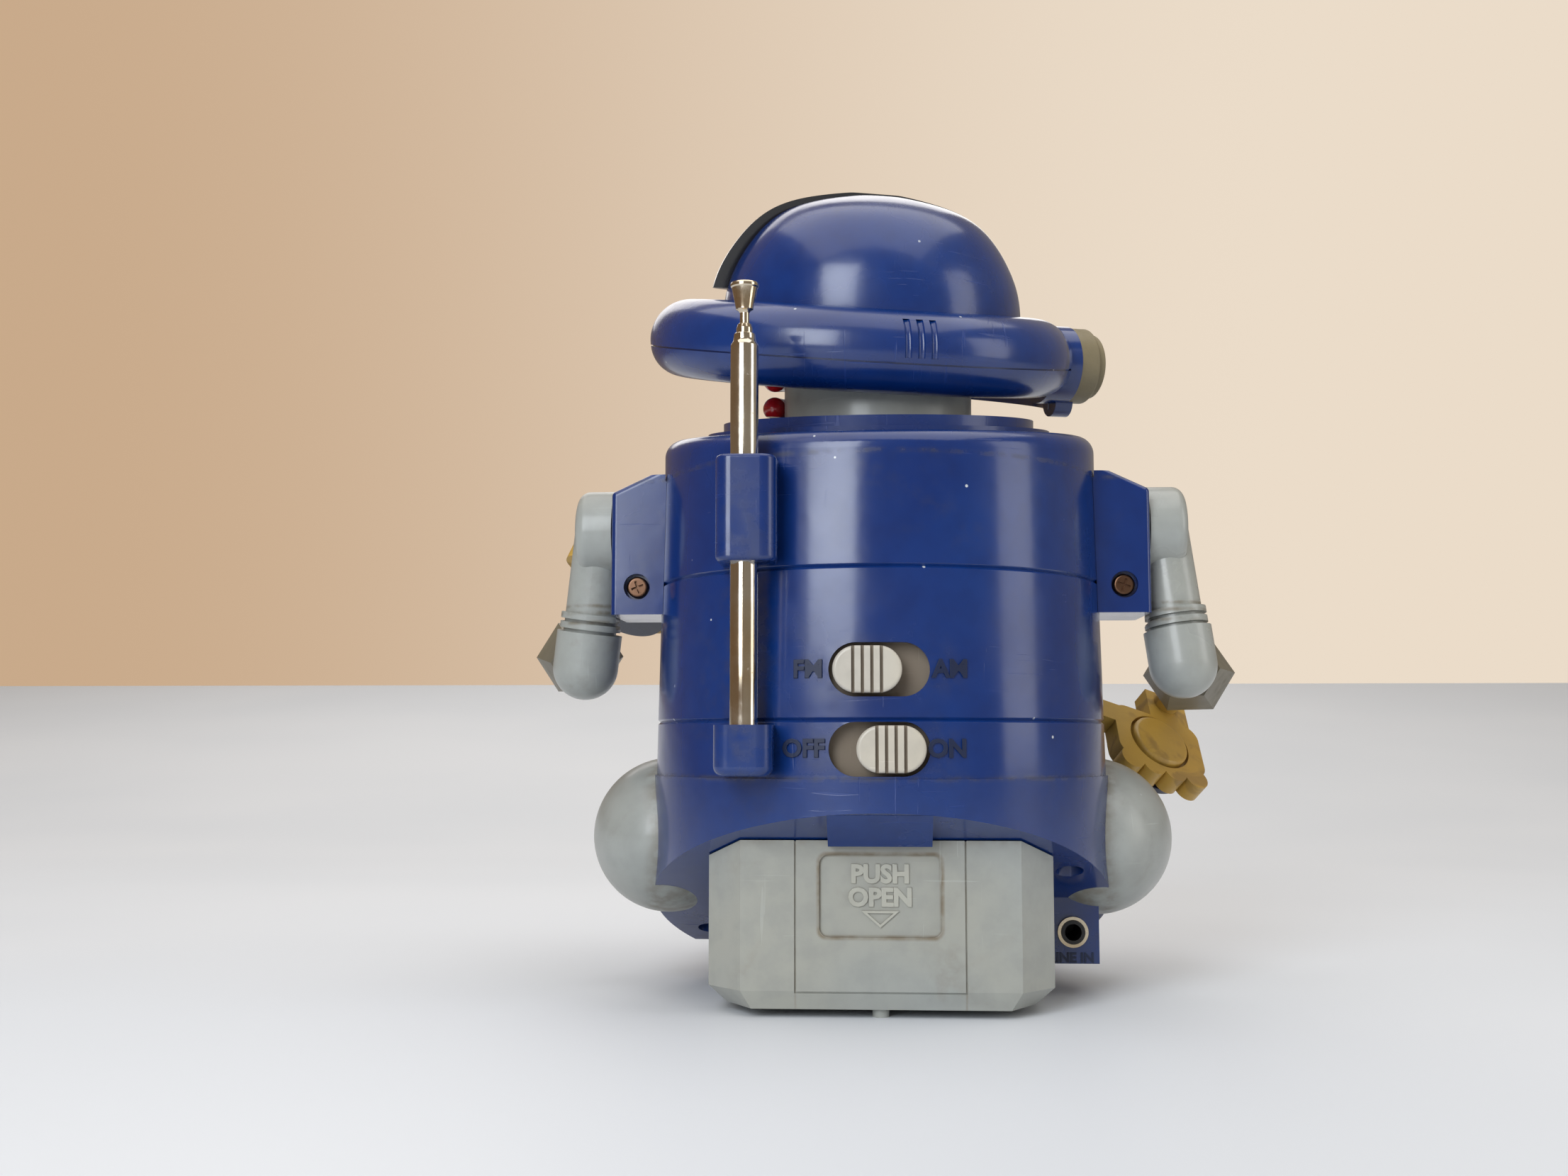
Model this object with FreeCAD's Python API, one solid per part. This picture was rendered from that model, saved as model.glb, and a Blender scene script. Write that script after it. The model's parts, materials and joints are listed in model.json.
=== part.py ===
"""Toy radio robot: a round body with a battery box, a turning head, swinging arms and a rod antenna.

Millimetres. +Z is up, the robot faces -Y and its left arm is on +X. The body is drawn about its own
upright axis and the finished pieces are moved so that the origin is the middle of the footprint.
"""
import FreeCAD, Part
import math
import os

V = FreeCAD.Vector

# ---- driving dimensions: body -------------------------------------------------------------------
AXIS_X, AXIS_Y = 0.0, 11.302             # the body axis, seen from the middle of the footprint
WALL = 2.2
BASE_R = 50.0                            # lower housing
BARREL_R_LOW, BARREL_R_HIGH = 49.6, 48.2
BASE_TOP = 47.4                          # joint between lower housing and barrel
BARREL_TOP = 112.1                       # joint between barrel and top cover
BAND_LINES = (58.9, 89.1)                # decorative grooves round the barrel
GROOVE = 0.5
FRONT_BOTTOM = 8.0
CUT_SLOPE = 0.444                        # underside rises towards the back
CUT_HEIGHT = 18.7                        # height of the underside on the body axis
DECK_SLOPE = 0.14                        # top deck falls towards the back
DECK_HEIGHT = 123.0
DECK_FILLET = 4.0
STEP_R, STEP_H = 38.5, 1.3
DISC_R, DISC_H = 35.0, 3.7

# ---- driving dimensions: battery box, jack and latch ---------------------------------------------
COVER_HALF, COVER_REAR_HALF = 35.1, 28.0
COVER_REAR, COVER_CORNER, COVER_FRONT = 37.5, 29.5, -6.0
COVER_BOTTOM = 1.7
COVER_WALL = 1.8
COVER_BEVEL = 3.6
COVER_GAP = 0.35
COVER_TRAVEL = 16.0
CELL_R, CELL_LENGTH = 7.25, 50.5
CELL_Y, CELL_Z = (9.0, 24.6), (11.8, 27.0)
STUD_R = 1.7
JACK_X, JACK_Z, JACK_FACE_Y = -41.6, 13.6, 5.0
JACK_BORE_R, JACK_BARREL_R, JACK_RING_R = 1.8, 2.6, 3.3
LATCH_HALF = 10.3

# ---- driving dimensions: switches and antenna ----------------------------------------------------
BAND_Z, POWER_Z = 68.7, 53.2
SLOT_HALF, SLOT_R = 9.9, 5.3
BAND_KNOB_X, POWER_KNOB_X = 2.3, -2.3
KNOB_HALF, KNOB_R = 6.8, 4.6
SWITCH_TRAVEL = 4.8
ANT_X, ANT_Y = 26.4, 49.0
ANT_R, ANT_MID_R, ANT_ROD_R = 2.8, 1.65, 0.95

# ---- driving dimensions: head --------------------------------------------------------------------
NECK_R, NECK_WALL, NECK_GAP = 21.2, 2.4, 0.35
HEAD_HEIGHT = 143.5
HEAD_TILT, HEAD_TURN = 15.0, 16.0        # looks up, and rests turned to its left
HEAD_FORWARD = 7.0                       # of the dome, ahead of the neck
RING_AHEAD = 8.0                         # of the ring, ahead of the dome
RING_R, TUBE_R = 40.2, 9.6
SEAM_DROP = 1.8
RING_DEPTH = 8.2                         # from the ring's middle down to its underside
HEAD_WALL = 2.0
DOME = ((34.4, 4.8), (34.2, 9.5), (32.9, 15.5), (30.2, 21.2), (23.7, 29.0), (15.3, 33.0), (7.0, 34.7))
DOME_TOP = 34.9
VISOR_PROUD, VISOR_RISE = 3.4, 1.0
VISOR_BACK, VISOR_LOW = -3.0, 12.4
EAR_ANGLE, EAR_AIM = 169.4, 187.0        # where the ear piece sits and points, from the head's +X
EAR_REACH, EAR_HEIGHT = 48.8, -1.0
EAR_R, EAR_COLLAR = 9.2, 7.0
LIP_RING_R, LIP_R = 24.4, 2.7

# ---- driving dimensions: arms, hands and legs ----------------------------------------------------
SHOULDER_Z = 101.9
BRACKET_OUT, BRACKET_DEPTH = 59.0, 12.0
HUB_IN, HUB_OUT, HUB_R = 59.5, 68.0, 9.6
ARM_X, ELBOW_X, ELBOW_Z = 63.2, 67.0, 71.4
ARM_R, ELBOW_R = 6.0, 7.4
AXLE_R, AXLE_GAP = 3.0, 0.06
ARM_SWING = 5.0                          # one arm rests this far forward, the other this far back
FOREARM_RISE, FOREARM_SPLAY = 3.0, 13.0  # forearms point a little up and outwards
CUFF_START, CUFF_END, CUFF_R = 13.0, 28.0, 10.6
HAND_CENTRE = (68.1, -36.0, 54.6)        # of the lowered hand
HAND_ACROSS, HAND_UP, HAND_FACING = (-0.824, 0.567, 0.0), (-0.357, -0.519, 0.777), (0.44, 0.64, 0.63)
RAISED_TWIST = 108.0                     # how far the raised hand is turned at the wrist
HIP_X, HIP_Y, HIP_Z, HIP_R, HIP_LENGTH = 47.7, -8.0, 33.6, 17.4, 1.35


# ---- small helpers -------------------------------------------------------------------------------
def box(x0, x1, y0, y1, z0, z1):
    return Part.makeBox(x1 - x0, y1 - y0, z1 - z0, V(x0, y0, z0))


def rod(start, end, radius):
    start, end = V(*start), V(*end)
    way = end - start
    return Part.makeCylinder(radius, way.Length, start, way)


def cone(start, end, radius0, radius1):
    start, end = V(*start), V(*end)
    way = end - start
    return Part.makeCone(radius0, radius1, way.Length, start, way)


def ball(centre, radius):
    return Part.makeSphere(radius, V(*centre))


def prism(points, direction):
    wire = Part.makePolygon([V(*p) for p in points] + [V(*points[0])])
    return Part.Face(wire).extrude(V(*direction))


def lathe(edges):
    """Turn a closed outline in the XZ plane about Z."""
    return Part.Face(Part.Wire(edges)).revolve(V(0, 0, 0), V(0, 0, 1), 360)


def line(r0, z0, r1, z1):
    return Part.makeLine(V(r0, 0, z0), V(r1, 0, z1))


def lathe_outline(points):
    count = len(points)
    return lathe([line(*points[i], *points[(i + 1) % count]) for i in range(count)])


def stadium(x, z, half, radius, y0, y1):
    """A flat-sided round-ended block through the wall, along Y."""
    reach = half - radius
    middle = box(x - reach, x + reach, y0, y1, z - radius, z + radius)
    ends = [rod((x + side * reach, y0, z), (x + side * reach, y1, z), radius) for side in (-1, 1)]
    return middle.multiFuse(ends).removeSplitter()


def above(slope, height, top=200.0):
    """Everything over the plane z = height + slope * y."""
    reach = 150.0
    outline = [(-reach, -reach, height - slope * reach), (-reach, reach, height + slope * reach),
               (-reach, reach, top), (-reach, -reach, top)]
    return prism(outline, (2 * reach, 0, 0))


def fillet(shape, radius, chosen):
    edges = [edge for edge in shape.Edges if chosen(edge)]
    return shape.makeFillet(radius, edges)


def mirrored(shape):
    return shape.mirror(V(0, 0, 0), V(1, 0, 0))


def turned(shape, centre, axis, degrees):
    copy = shape.copy()
    copy.rotate(V(*centre), V(*axis), degrees)
    return copy


# ---- body ----------------------------------------------------------------------------------------
def barrel_radius(z):
    return BARREL_R_LOW + (BARREL_R_HIGH - BARREL_R_LOW) * (z - BASE_TOP) / (BARREL_TOP - BASE_TOP)


def barrel_solid(inset, grooves):
    """The barrel filled in, with the band lines cut as small V grooves."""
    points = [(0, BASE_TOP), (barrel_radius(BASE_TOP) - inset, BASE_TOP)]
    if grooves:
        for z in BAND_LINES:
            r = barrel_radius(z) - inset
            points += [(r, z - GROOVE), (r - GROOVE, z), (r, z + GROOVE)]
    points += [(barrel_radius(BARREL_TOP) - inset, BARREL_TOP), (0, BARREL_TOP)]
    return lathe_outline(points)


def base_solid(inset):
    tube = rod((0, 0, FRONT_BOTTOM + inset), (0, 0, BASE_TOP), BASE_R - inset)
    return tube.common(above(CUT_SLOPE, CUT_HEIGHT + 1.1 * inset))


def deck_disc(radius, height, depth):
    """A disc standing square on the sloping deck."""
    tilt = math.atan(DECK_SLOPE)
    up = V(0, math.sin(tilt), math.cos(tilt))
    foot = V(0, 0, DECK_HEIGHT) - up * depth
    return Part.makeCylinder(radius, height + depth, foot, up)


def base_housing():
    shell = base_solid(0).cut(base_solid(WALL))
    block = box(-47.3, -35.7, -14.0, JACK_FACE_Y, 6.8, 22.0).cut(above(CUT_SLOPE, CUT_HEIGHT + 0.8))
    latch = prism([(-LATCH_HALF, 49.2, 40.5), (-LATCH_HALF, 41.2, 34.0), (-LATCH_HALF, 38.1, 34.0),
                   (-LATCH_HALF, 38.1, 36.4)], (2 * LATCH_HALF, 0, 0))
    posts = [post.common(base_solid(0)) for post in base_screw_posts()]
    shell = shell.multiFuse([block, latch] + posts)
    hollow = box(-46.0, -37.0, -12.5, 3.0, 8.4, 16.2)
    feed = box(-44.5, -38.0, -11.0, -2.0, 10.0, 26.0)
    window = box(-30.2, 30.2, -0.3, 33.9, 0, 40.0)
    bore = rod((JACK_X, 0, JACK_Z), (JACK_X, 8.0, JACK_Z), JACK_BARREL_R)
    for tool in [hollow, feed, window, bore] + base_screw_wells():
        shell = shell.cut(tool)
    return shell.removeSplitter()


def barrel_shell():
    shell = barrel_solid(0, True).cut(barrel_solid(WALL, False))
    for side in (-1, 1):
        shell = shell.cut(rod((side * 40, 0, SHOULDER_Z), (side * 60, 0, SHOULDER_Z), AXLE_R + 0.5))
    return shell


def rear_housing():
    shell = barrel_shell().common(box(-60, 60, 0, 60, 0, 200))
    for z in (BAND_Z, POWER_Z):
        pocket = box(-16.2, 16.2, 40.0, 45.8, z - 5.95, z + 5.95)
        shell = shell.cut(pocket).cut(stadium(0, z, SLOT_HALF, SLOT_R, 40, 60))
    return shell.removeSplitter()


def front_housing():
    shell = barrel_shell().common(box(-60, 60, -60, 0, 0, 200))
    shell = shell.cut(rod((0, -60, SPEAKER_Z), (0, -30, SPEAKER_Z), SPEAKER_HOLE_R))
    for side in (-1, 1):
        inner, outer = dial_point(side, 40.0), dial_point(side, 55.0)
        shell = shell.cut(rod(inner, outer, DIAL_SHAFT_R + 0.3))
    return shell.removeSplitter()


def top_cover():
    tube = rod((0, 0, BARREL_TOP), (0, 0, 150), BARREL_R_HIGH).cut(above(-DECK_SLOPE, DECK_HEIGHT))
    rim = lambda edge: edge.BoundBox.ZMax > 125 and edge.BoundBox.XLength > 80
    tube = fillet(tube, DECK_FILLET, rim)
    tube = tube.multiFuse([deck_disc(STEP_R, STEP_H, 3.0), deck_disc(DISC_R, DISC_H, 3.0)])
    inner = rod((0, 0, BARREL_TOP - 1), (0, 0, 150), BARREL_R_HIGH - WALL - 1.0)
    inner = inner.cut(above(-DECK_SLOPE, DECK_HEIGHT - WALL - 1.0))
    hole = rod((0, 0, 100), (0, 0, 150), NECK_R + NECK_GAP)
    return tube.cut(inner).cut(hole).removeSplitter()


def battery_case():
    """Open-bottomed box that holds the four cells."""
    def within(inset):
        return Part.Face(Part.makePolygon(cover_outline(inset, 0, -1.0))).extrude(V(0, 0, 60))
    outer = box(-29.8, 29.8, 0.2, 33.4, 6.5, 36.2).common(within(COVER_WALL + 0.4))
    inner = box(-28.6, 28.6, 1.4, 32.2, 0.0, 35.0).common(within(COVER_WALL + 1.6))
    return outer.cut(inner)


def battery_cells():
    cells = []
    for y in CELL_Y:
        for z in CELL_Z:
            half = CELL_LENGTH / 2
            can = rod((-half, y, z), (half - 1.2, y, z), CELL_R)
            cells.append(can.fuse(rod((half - 1.2, y, z), (half, y, z), 2.7)).removeSplitter())
    return Part.makeCompound(cells)


def battery_contacts():
    plates = []
    for side in (-1, 1):
        for y in CELL_Y:
            plates.append(box(side * 27.9 - 0.4, side * 27.9 + 0.4, y - 6, y + 6, 6.0, 33.0))
            for z in CELL_Z:
                coil = rod((side * 25.4, y, z), (side * 27.5, y, z), 2.6)
                plates[-1] = plates[-1].fuse(coil)
    return Part.makeCompound(plates)


def cover_outline(inset, bevel, z):
    half, rear_half = COVER_HALF - inset - bevel, COVER_REAR_HALF - 0.6 * (inset + bevel)
    rear, corner = COVER_REAR - inset - 0.25 * bevel, COVER_CORNER - 0.6 * (inset + bevel)
    front = COVER_FRONT + inset
    return [V(-half, front, z), V(half, front, z), V(half, corner, z), V(rear_half, rear, z),
            V(-rear_half, rear, z), V(-half, corner, z), V(-half, front, z)]


def cover_block(inset, bottom):
    """The box filled in, with its lower side edges bevelled."""
    knee = COVER_BOTTOM + COVER_BEVEL + 0.4 * inset
    rings = [Part.makePolygon(cover_outline(inset, COVER_BEVEL, bottom)),
             Part.makePolygon(cover_outline(inset, 0, knee))]
    low = Part.makeLoft(rings, True, True)
    high = Part.Face(rings[1]).extrude(V(0, 0, 50))
    return low.fuse(high).removeSplitter()


def battery_cover():
    lid_plane = above(CUT_SLOPE, CUT_HEIGHT - COVER_GAP)
    shell = cover_block(0, COVER_BOTTOM).cut(cover_block(COVER_WALL, COVER_BOTTOM + COVER_WALL))
    shell = shell.cut(lid_plane)
    pad = box(-12.2, 12.2, COVER_REAR - 0.7, COVER_REAR + 1, 15.9, 32.2)
    pad = fillet(pad, 2.0, lambda edge: edge.BoundBox.YLength > 1)
    shell = shell.cut(pad)
    groove, depth = 0.35, 0.4
    for x in (-17.0, 17.0):
        shell = shell.cut(box(x - groove / 2, x + groove / 2, COVER_REAR - depth, COVER_REAR + 1, 4.9, 40))
    shell = shell.cut(box(-17.0, 17.0, COVER_REAR - depth, COVER_REAR + 1, 4.9, 4.9 + groove))
    stud = rod((0, 34.0, 0), (0, 34.0, COVER_BOTTOM + 1), STUD_R)
    return shell.fuse(stud).removeSplitter()


def line_in_jack():
    barrel = rod((JACK_X, 2.0, JACK_Z), (JACK_X, JACK_FACE_Y + 1.2, JACK_Z), JACK_BARREL_R)
    body = box(JACK_X - 3.3, JACK_X + 3.3, -9.5, 2.9, JACK_Z - 3.4, JACK_Z + 2.4)
    bore = rod((JACK_X, -8.0, JACK_Z), (JACK_X, 10.0, JACK_Z), JACK_BORE_R)
    return body.fuse(barrel).cut(bore).removeSplitter()


def jack_ring():
    face = JACK_FACE_Y
    ring = rod((JACK_X, face, JACK_Z), (JACK_X, face + 0.9, JACK_Z), JACK_RING_R)
    return ring.cut(rod((JACK_X, face - 1, JACK_Z), (JACK_X, face + 2, JACK_Z), JACK_BARREL_R))


# ---- things inside the barrel --------------------------------------------------------------------
SPEAKER_Z, SPEAKER_HOLE_R = 76.0, 22.0
DIAL_ANGLE, DIAL_Z, DIAL_R, DIAL_SHAFT_R = 46.0, 101.0, 7.6, 2.0


def dial_point(side, reach):
    angle = math.radians(DIAL_ANGLE)
    return (side * reach * math.sin(angle), -reach * math.cos(angle), DIAL_Z)


def dial(side):
    knob = rod(dial_point(side, 49.3), dial_point(side, 54.8), DIAL_R)
    for step in range(16):
        nick = rod(dial_point(side, 50.8), dial_point(side, 56.0), 0.55)
        centre, way = V(*dial_point(side, 0)), V(*dial_point(side, 1)) - V(*dial_point(side, 0))
        nick.translate(V(0, 0, DIAL_R))
        nick.rotate(centre, way, step * 22.5)
        knob = knob.cut(nick)
    mark = rod(dial_point(side, 54.3), dial_point(side, 56.0), 0.9)
    mark.translate(V(0, 0, DIAL_R * 0.62))
    shaft = rod(dial_point(side, 41.5), dial_point(side, 50.0), DIAL_SHAFT_R)
    return knob.cut(mark).fuse(shaft).removeSplitter()


def dial_controls():
    """The tuning capacitor and the volume control behind the two dials."""
    pots = []
    for side in (-1, 1):
        can = rod(dial_point(side, 33.0), dial_point(side, 41.2), 7.5)
        pots.append(can)
    return Part.makeCompound(pots)


def speaker():
    magnet = rod((0, -24, SPEAKER_Z), (0, -16, SPEAKER_Z), 13)
    basket = cone((0, -37, SPEAKER_Z), (0, -24, SPEAKER_Z), 22.5, 11)
    cup = cone((0, -37.01, SPEAKER_Z), (0, -27, SPEAKER_Z), 20.0, 8)
    rim = rod((0, -38.6, SPEAKER_Z), (0, -37, SPEAKER_Z), 24).cut(
        rod((0, -40, SPEAKER_Z), (0, -36, SPEAKER_Z), 20.0))
    return basket.cut(cup).multiFuse([magnet, rim]).removeSplitter()


def speaker_grille():
    inner = barrel_radius(SPEAKER_Z - SPEAKER_HOLE_R - 4) + 0.02
    outer = inner + 1.1
    skin = rod((0, 0, 40), (0, 0, 112), outer).cut(rod((0, 0, 30), (0, 0, 120), inner))
    disc = skin.common(rod((0, -60, SPEAKER_Z), (0, -20, SPEAKER_Z), SPEAKER_HOLE_R + 3.4))
    for row in range(-3, 4):
        z = SPEAKER_Z + row * 5.6
        half = math.sqrt(max((SPEAKER_HOLE_R - 1.0) ** 2 - (row * 5.6) ** 2, 9.0))
        disc = disc.cut(stadium(0, z, half, 1.4, -60, -20))
    return disc


def circuit_board():
    board = box(-31, 31, 33.0, 34.6, 49.0, 90.0)
    for x, z in ((-28, 52), (28, 52), (-28, 87), (28, 87)):
        board = board.cut(rod((x, 30, z), (x, 36, z), 1.4))
    return board


def switch_bodies():
    bodies = []
    for z in (BAND_Z, POWER_Z):
        case = box(-9, 9, 34.6, 39.6, z - 3.2, z + 3.2)
        bodies.append(case.cut(box(-5.5, 5.5, 36.5, 41, z - 1.6, z + 1.6)))
    return Part.makeCompound(bodies)


def gear_deck():
    deck = rod((0, 0, 94.0), (0, 0, 96.0), barrel_radius(96) - WALL - 0.5)
    deck = deck.cut(rod((MOTOR_X, GEAR_Y, 90), (MOTOR_X, GEAR_Y, 100), 3.2))
    deck = deck.cut(box(-46, 46, -50, -31, 90, 100))
    for side in (-1, 1):
        deck = deck.cut(rod(dial_point(side, 32.0), dial_point(side, 50.0), 7.8))
    return deck.fuse(rod((CRANK_X, GEAR_Y, 95), (CRANK_X, GEAR_Y, 104.5), GEAR_PIN_R)).removeSplitter()


def motor():
    can = rod((MOTOR_X, GEAR_Y, 70), (MOTOR_X, GEAR_Y, 93.8), 11.0)
    return can.fuse(rod((MOTOR_X, GEAR_Y, 93), (MOTOR_X, GEAR_Y, 97.3), 3.0)).removeSplitter()


GEAR_MODULE, PINION_TEETH, CRANK_TEETH = 0.9, 10, 40
GEAR_Y, CRANK_X, GEAR_PIN_R = 2.0, -6.0, 2.0
MOTOR_X = CRANK_X + GEAR_MODULE * (PINION_TEETH + CRANK_TEETH) / 2


def toothed_wheel(x, teeth, first_tooth, bore_r):
    """A spur wheel with trapezoid teeth; first_tooth is the angle of one tooth, in degrees."""
    pitch_r = GEAR_MODULE * teeth / 2
    root, tip = pitch_r - 1.2 * GEAR_MODULE, pitch_r + 0.85 * GEAR_MODULE
    step = 360.0 / teeth
    points = []
    for tooth in range(teeth):
        for radius, share in ((root, -0.33), (tip, -0.12), (tip, 0.12), (root, 0.33)):
            angle = math.radians(first_tooth + (tooth + share) * step)
            points.append((x + radius * math.cos(angle), GEAR_Y + radius * math.sin(angle), 98.0))
    wheel = prism(points, (0, 0, 4.0))
    return wheel.cut(rod((x, GEAR_Y, 90), (x, GEAR_Y, 110), bore_r)) if bore_r else wheel


def crank_gear():
    wheel = toothed_wheel(CRANK_X, CRANK_TEETH, 0.0, GEAR_PIN_R + 0.06)
    crank = rod((CRANK_X - 12, GEAR_Y, 101), (CRANK_X - 12, GEAR_Y, 106.5), 2.0)
    return wheel.fuse(crank).removeSplitter()


def motor_pinion():
    half_step = 180.0 / PINION_TEETH
    return toothed_wheel(MOTOR_X, PINION_TEETH, 180.0 + half_step, 0)


# ---- switches and antenna ------------------------------------------------------------------------
def switch_knob(x, z, height_r):
    plate = box(x - 13.1, x + 13.1, 44.6, 45.5, z - 5.6, z + 5.6)
    knob = stadium(x, z, KNOB_HALF, height_r, 45.1, 50.9)
    front = lambda edge: edge.BoundBox.YMin > 50.8
    knob = fillet(knob, 0.7, front)
    for step in (-1.5, -0.5, 0.5, 1.5):
        groove = x + 1.85 * step
        knob = knob.cut(box(groove - 0.32, groove + 0.32, 50.0, 52.0, z - 6, z + 6))
    stem = box(x - 2, x + 2, 37.2, 45.0, z - 1.2, z + 1.2)
    return plate.multiFuse([knob, stem]).removeSplitter()


def antenna_clip():
    block = box(19.9, 32.0, 36.0, 53.2, 89.8, 110.9)
    upright = lambda edge: edge.BoundBox.ZLength > 15 and edge.BoundBox.YMin > 50
    block = fillet(block, 3.2, upright)
    rear_edges = lambda edge: edge.BoundBox.ZLength < 0.1 and edge.BoundBox.YMax > 45
    block = fillet(block, 0.9, rear_edges)
    block = block.cut(barrel_solid(-0.03, False))
    return block.cut(rod((ANT_X, ANT_Y, 80), (ANT_X, ANT_Y, 120), ANT_R))


def antenna_foot():
    block = box(20.7, 32.2, 36.0, 53.4, 48.0, 57.9)
    upright = lambda edge: edge.BoundBox.ZLength > 5 and edge.BoundBox.YMin > 50
    block = fillet(block, 3.0, upright)
    low = lambda edge: edge.BoundBox.ZMax < 48.1 and edge.BoundBox.YMax > 45
    block = fillet(block, 1.8, low)
    block = block.cut(barrel_solid(0, False))
    return block.cut(rod((ANT_X, ANT_Y, 50.5), (ANT_X, ANT_Y, 120), ANT_R))


def antenna_tube():
    outer = [(0, 50.5), (ANT_R, 50.5), (ANT_R, 133.2), (2.35, 134.0), (2.1, 135.6), (0, 135.6)]
    tube = lathe_outline(outer).cut(rod((0, 0, 51.7), (0, 0, 140), ANT_MID_R + 0.08))
    tube.translate(V(ANT_X, ANT_Y, 0))
    return tube


def antenna_middle():
    outer = [(0, 56.0), (ANT_MID_R, 56.0), (ANT_MID_R, 136.6), (1.3, 137.6), (0, 137.6)]
    tube = lathe_outline(outer).cut(rod((0, 0, 57.0), (0, 0, 140), ANT_ROD_R + 0.08))
    tube.translate(V(ANT_X, ANT_Y, 0))
    return tube


def antenna_rod():
    outer = [(0, 60.0), (ANT_ROD_R, 60.0), (ANT_ROD_R, 140.4), (1.75, 140.4), (2.65, 144.9), (2.85, 145.1),
             (2.85, 145.7), (2.5, 146.0), (0, 146.0)]
    whole = lathe_outline(outer)
    whole.translate(V(ANT_X, ANT_Y, 0))
    return whole


# ---- head ----------------------------------------------------------------------------------------
def placed_head(shape):
    """From the head's own frame, with its ring flat, to its resting place on the neck."""
    copy = shape.copy()
    copy.translate(V(0, -HEAD_FORWARD, 0))
    copy.rotate(V(0, 0, 0), V(1, 0, 0), -HEAD_TILT)
    copy.rotate(V(0, 0, 0), V(0, 0, 1), HEAD_TURN)
    copy.translate(V(0, 0, HEAD_HEIGHT))
    return copy


def tube_point(tube, degrees):
    angle = math.radians(degrees)
    return V(RING_R + tube * math.cos(angle), 0, tube * math.sin(angle))


def ring_placed(shape):
    """From the ring's own middle to its place a little ahead of the dome."""
    shape.translate(V(0, -RING_AHEAD, 0))
    return shape


def dome_solid(grow):
    """The dome down to the seam, filled in, with its wall moved out by grow."""
    foot_r = DOME[0][0] + grow
    knots = [V(foot_r, 0, DOME[0][1])] + [V(r + grow * r / 36.0, 0, z + grow * z / 36.0) for r, z in DOME[1:]]
    knots.append(V(0, 0, DOME_TOP + grow))
    curve = Part.BSplineCurve()
    curve.interpolate(knots, FinalTangent=V(-1, 0, 0), InitialTangent=V(0, 0, 1))
    return lathe([line(foot_r, -SEAM_DROP, foot_r, DOME[0][1]), curve.toShape(),
                  line(0, DOME_TOP + grow, 0, -SEAM_DROP), line(0, -SEAM_DROP, foot_r, -SEAM_DROP)])


def ring_top(grow):
    """The ring above the seam and the flat sheet that fills it, with every wall moved out by grow."""
    tube, sheet = TUBE_R + grow, 1.2 + grow
    seam_angle = math.degrees(math.asin(SEAM_DROP / tube))
    sheet_angle = 180 - math.degrees(math.asin(sheet / tube))
    seam, join = tube_point(tube, -seam_angle), tube_point(tube, sheet_angle)
    outside = Part.Arc(seam, tube_point(tube, 40), tube_point(tube, 90)).toShape()
    inside = Part.Arc(tube_point(tube, 90), tube_point(tube, (90 + sheet_angle) / 2), join).toShape()
    return ring_placed(lathe([outside, inside, line(join.x, join.z, 0, join.z),
                              line(0, join.z, 0, seam.z), line(0, seam.z, seam.x, seam.z)]))


def head_top(grow):
    return dome_solid(grow).fuse(ring_top(grow)).removeSplitter()


def ear_way():
    angle = math.radians(EAR_AIM)
    return V(math.cos(angle), math.sin(angle), 0)


def ear_foot():
    angle = math.radians(EAR_ANGLE)
    return V(EAR_REACH * math.cos(angle), EAR_REACH * math.sin(angle) - RING_AHEAD, EAR_HEIGHT)


def ear_disc(start, end, radius):
    """A round slice along the ear piece's axis, measured from the flat on the ring."""
    return Part.makeCylinder(radius, end - start, ear_foot() + ear_way() * start, ear_way())


def beyond_ear_flat():
    block = Part.makeBox(40, 60, 60, V(0, -30, -30))
    block.rotate(V(0, 0, 0), V(0, 0, 1), EAR_AIM)
    block.translate(ear_foot())
    return block


def ring_seam_radius():
    return RING_R + math.sqrt(TUBE_R ** 2 - SEAM_DROP ** 2)


def head_shell():
    shell = head_top(0).cut(head_top(-HEAD_WALL))
    shell = shell.cut(beyond_ear_flat())
    seam_r = ring_seam_radius()
    line_cut = rod((0, 0, -SEAM_DROP), (0, 0, -SEAM_DROP + 0.35), seam_r + 1).cut(
        rod((0, 0, -5), (0, 0, 5), seam_r - 0.45))
    shell = shell.cut(ring_placed(line_cut))
    for x in (-2.9, 0.0, 2.9):
        dent = Part.makeTorus(TUBE_R + 0.35, 0.85, V(x, RING_R, 0), V(1, 0, 0))
        shell = shell.cut(ring_placed(dent.common(box(x - 2, x + 2, RING_R, RING_R + 20, -0.4, 7.6))))
    closing = ear_disc(-1.5, 0, 34.0).common(ring_top(-0.2)).cut(
        box(-80, 80, -80, 80, -20, -SEAM_DROP))
    return shell.fuse(closing).removeSplitter()


def ring_underside(grow):
    """The lower half of the ring, flatter than the upper, with the floor of the head, filled in."""
    tube = TUBE_R + grow
    depth = RING_DEPTH + grow
    seam = tube_point(tube, -math.degrees(math.asin(SEAM_DROP / tube)))
    lowest = V(RING_R, 0, -depth)
    between = V(RING_R + 0.74 * (seam.x - RING_R), 0, -SEAM_DROP - 0.72 * (depth - SEAM_DROP))
    floor_edge, floor_z = RING_R - 5.0, -depth + 0.8
    edges = [Part.Arc(seam, between, lowest).toShape(), line(lowest.x, lowest.z, floor_edge, floor_z),
             line(floor_edge, floor_z, 0, floor_z), line(0, floor_z, 0, seam.z),
             line(0, seam.z, seam.x, seam.z)]
    return ring_placed(lathe(edges))


def head_base():
    shell = ring_underside(0).cut(ring_underside(-HEAD_WALL)).cut(beyond_ear_flat())
    closing = ear_disc(-1.5, 0, 34.0).common(ring_underside(-0.2))
    return shell.fuse(closing).removeSplitter()


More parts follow.
